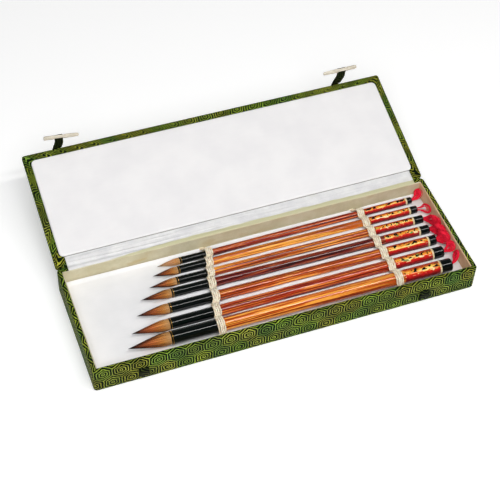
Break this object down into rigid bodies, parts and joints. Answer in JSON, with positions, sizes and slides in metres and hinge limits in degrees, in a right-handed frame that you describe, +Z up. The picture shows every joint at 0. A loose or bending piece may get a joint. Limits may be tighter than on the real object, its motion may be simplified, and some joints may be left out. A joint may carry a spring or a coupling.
{
  "type": "calligraphy set box",
  "caption": "Long brocade-covered box with its lid open, holding writing brushes of graded size under two strings, with strap and toggle closures.",
  "frame": {"origin": "centre of the tray's underside", "axes": "+X along the box to the brushes' end caps, -Y to the front with the toggle loops, +Z up"},
  "size_m": [0.33, 0.2214, 0.0726],
  "materials": {
    "wood_board": "greyboard or thin wood, hidden under cloth",
    "brocade": "green and gold brocade with hexagon cells",
    "lining": "pale cotton lining",
    "white_silk": "white satin over wadding",
    "white_cotton": "white cotton strip",
    "paper": "plain paper",
    "hair": "brown animal hair, dark at the tip",
    "black_horn": "polished black",
    "lacquered_wood": "clear lacquer over red-brown wood",
    "red_cord": "twisted silk cord",
    "string": "flat woven string",
    "bone": "polished bone"
  },
  "bodies": {
    "tray": {"bottom_paper": "paper", "tray_base": "wood_board", "tray_wall_front": "wood_board", "tray_wall_back": "wood_board", "tray_wall_left": "wood_board", "tray_wall_right": "wood_board", "tray_cover": "brocade", "tray_lining": "lining", "bed_block": "wood_board", "bed_pad": "white_silk", "toggle_loops": "brocade", "string_left": "string", "string_right": "string", "hinge_cloth": "brocade", "hinge_lining": "white_cotton"},
    "lid": {"lid_board": "wood_board", "lid_cover": "brocade", "lid_pad": "white_silk", "lid_label": "paper", "strap_anchors": "brocade"},
    "left_strap": {"strap_left": "brocade"},
    "right_strap": {"strap_right": "brocade"},
    "left_toggle": {"toggle_left": "bone"},
    "right_toggle": {"toggle_right": "bone"},
    "brush_1": {"brush_1_hair": "hair", "brush_1_ferrule": "black_horn", "brush_1_shaft": "lacquered_wood", "brush_1_cap": "black_horn", "brush_1_loop": "red_cord"},
    "brush_2": {"brush_2_hair": "hair", "brush_2_ferrule": "black_horn", "brush_2_shaft": "lacquered_wood", "brush_2_cap": "black_horn", "brush_2_loop": "red_cord"},
    "brush_3": {"brush_3_hair": "hair", "brush_3_ferrule": "black_horn", "brush_3_shaft": "lacquered_wood", "brush_3_cap": "black_horn", "brush_3_loop": "red_cord"},
    "brush_4": {"brush_4_hair": "hair", "brush_4_ferrule": "black_horn", "brush_4_shaft": "lacquered_wood", "brush_4_cap": "black_horn", "brush_4_loop": "red_cord"},
    "brush_5": {"brush_5_hair": "hair", "brush_5_ferrule": "black_horn", "brush_5_shaft": "lacquered_wood", "brush_5_cap": "black_horn", "brush_5_loop": "red_cord"},
    "brush_6": {"brush_6_hair": "hair", "brush_6_ferrule": "black_horn", "brush_6_shaft": "lacquered_wood", "brush_6_cap": "black_horn", "brush_6_loop": "red_cord"},
    "brush_7": {"brush_7_hair": "hair", "brush_7_ferrule": "black_horn", "brush_7_shaft": "lacquered_wood", "brush_7_cap": "black_horn", "brush_7_loop": "red_cord"}
  },
  "joints": [
    {"name": "lid_hinge", "type": "hinge", "parent": "tray", "child": "lid", "pos_m": [0, 0.05505, 0.0256], "axis": [-1, 0, 0], "range_deg": [-164.5, 15.5], "deforming": ["hinge_cloth", "hinge_lining"]},
    {"name": "left_strap_fold", "type": "hinge", "parent": "lid", "child": "left_strap", "pos_m": [-0.1342, 0.16274, 0.04929], "axis": [1, 0, 0], "range_deg": [-105, 0]},
    {"name": "left_toggle_turn", "type": "hinge", "parent": "left_strap", "child": "left_toggle", "pos_m": [-0.1312, 0.1626, 0.06529], "axis": [0.9925, 0.0011, -0.1219], "range_deg": [-40, 80]},
    {"name": "right_strap_fold", "type": "hinge", "parent": "lid", "child": "right_strap", "pos_m": [0.1238, 0.16274, 0.04929], "axis": [1, 0, 0], "range_deg": [-105, 0]},
    {"name": "right_toggle_turn", "type": "hinge", "parent": "right_strap", "child": "right_toggle", "pos_m": [0.129, 0.16257, 0.06829], "axis": [1, 0, 0], "range_deg": [-40, 80]},
    {"name": "brush_1_slide", "type": "slide", "parent": "tray", "child": "brush_1", "axis": [-1, -0.007, 0], "range_m": [0, 0.044]},
    {"name": "brush_2_slide", "type": "slide", "parent": "tray", "child": "brush_2", "axis": [-1, 0.0035, 0], "range_m": [0, 0.044]},
    {"name": "brush_3_slide", "type": "slide", "parent": "tray", "child": "brush_3", "axis": [-1, 0.0079, 0], "range_m": [0, 0.044]},
    {"name": "brush_4_slide", "type": "slide", "parent": "tray", "child": "brush_4", "axis": [-0.9999, 0.0157, 0], "range_m": [0, 0.044]},
    {"name": "brush_5_slide", "type": "slide", "parent": "tray", "child": "brush_5", "axis": [-1, 0.0087, 0], "range_m": [0, 0.044]},
    {"name": "brush_6_slide", "type": "slide", "parent": "tray", "child": "brush_6", "axis": [-1, 0.0017, 0], "range_m": [0, 0.035]},
    {"name": "brush_7_slide", "type": "slide", "parent": "tray", "child": "brush_7", "axis": [-1, 0.0087, 0], "range_m": [0, 0.028]}
  ]
}
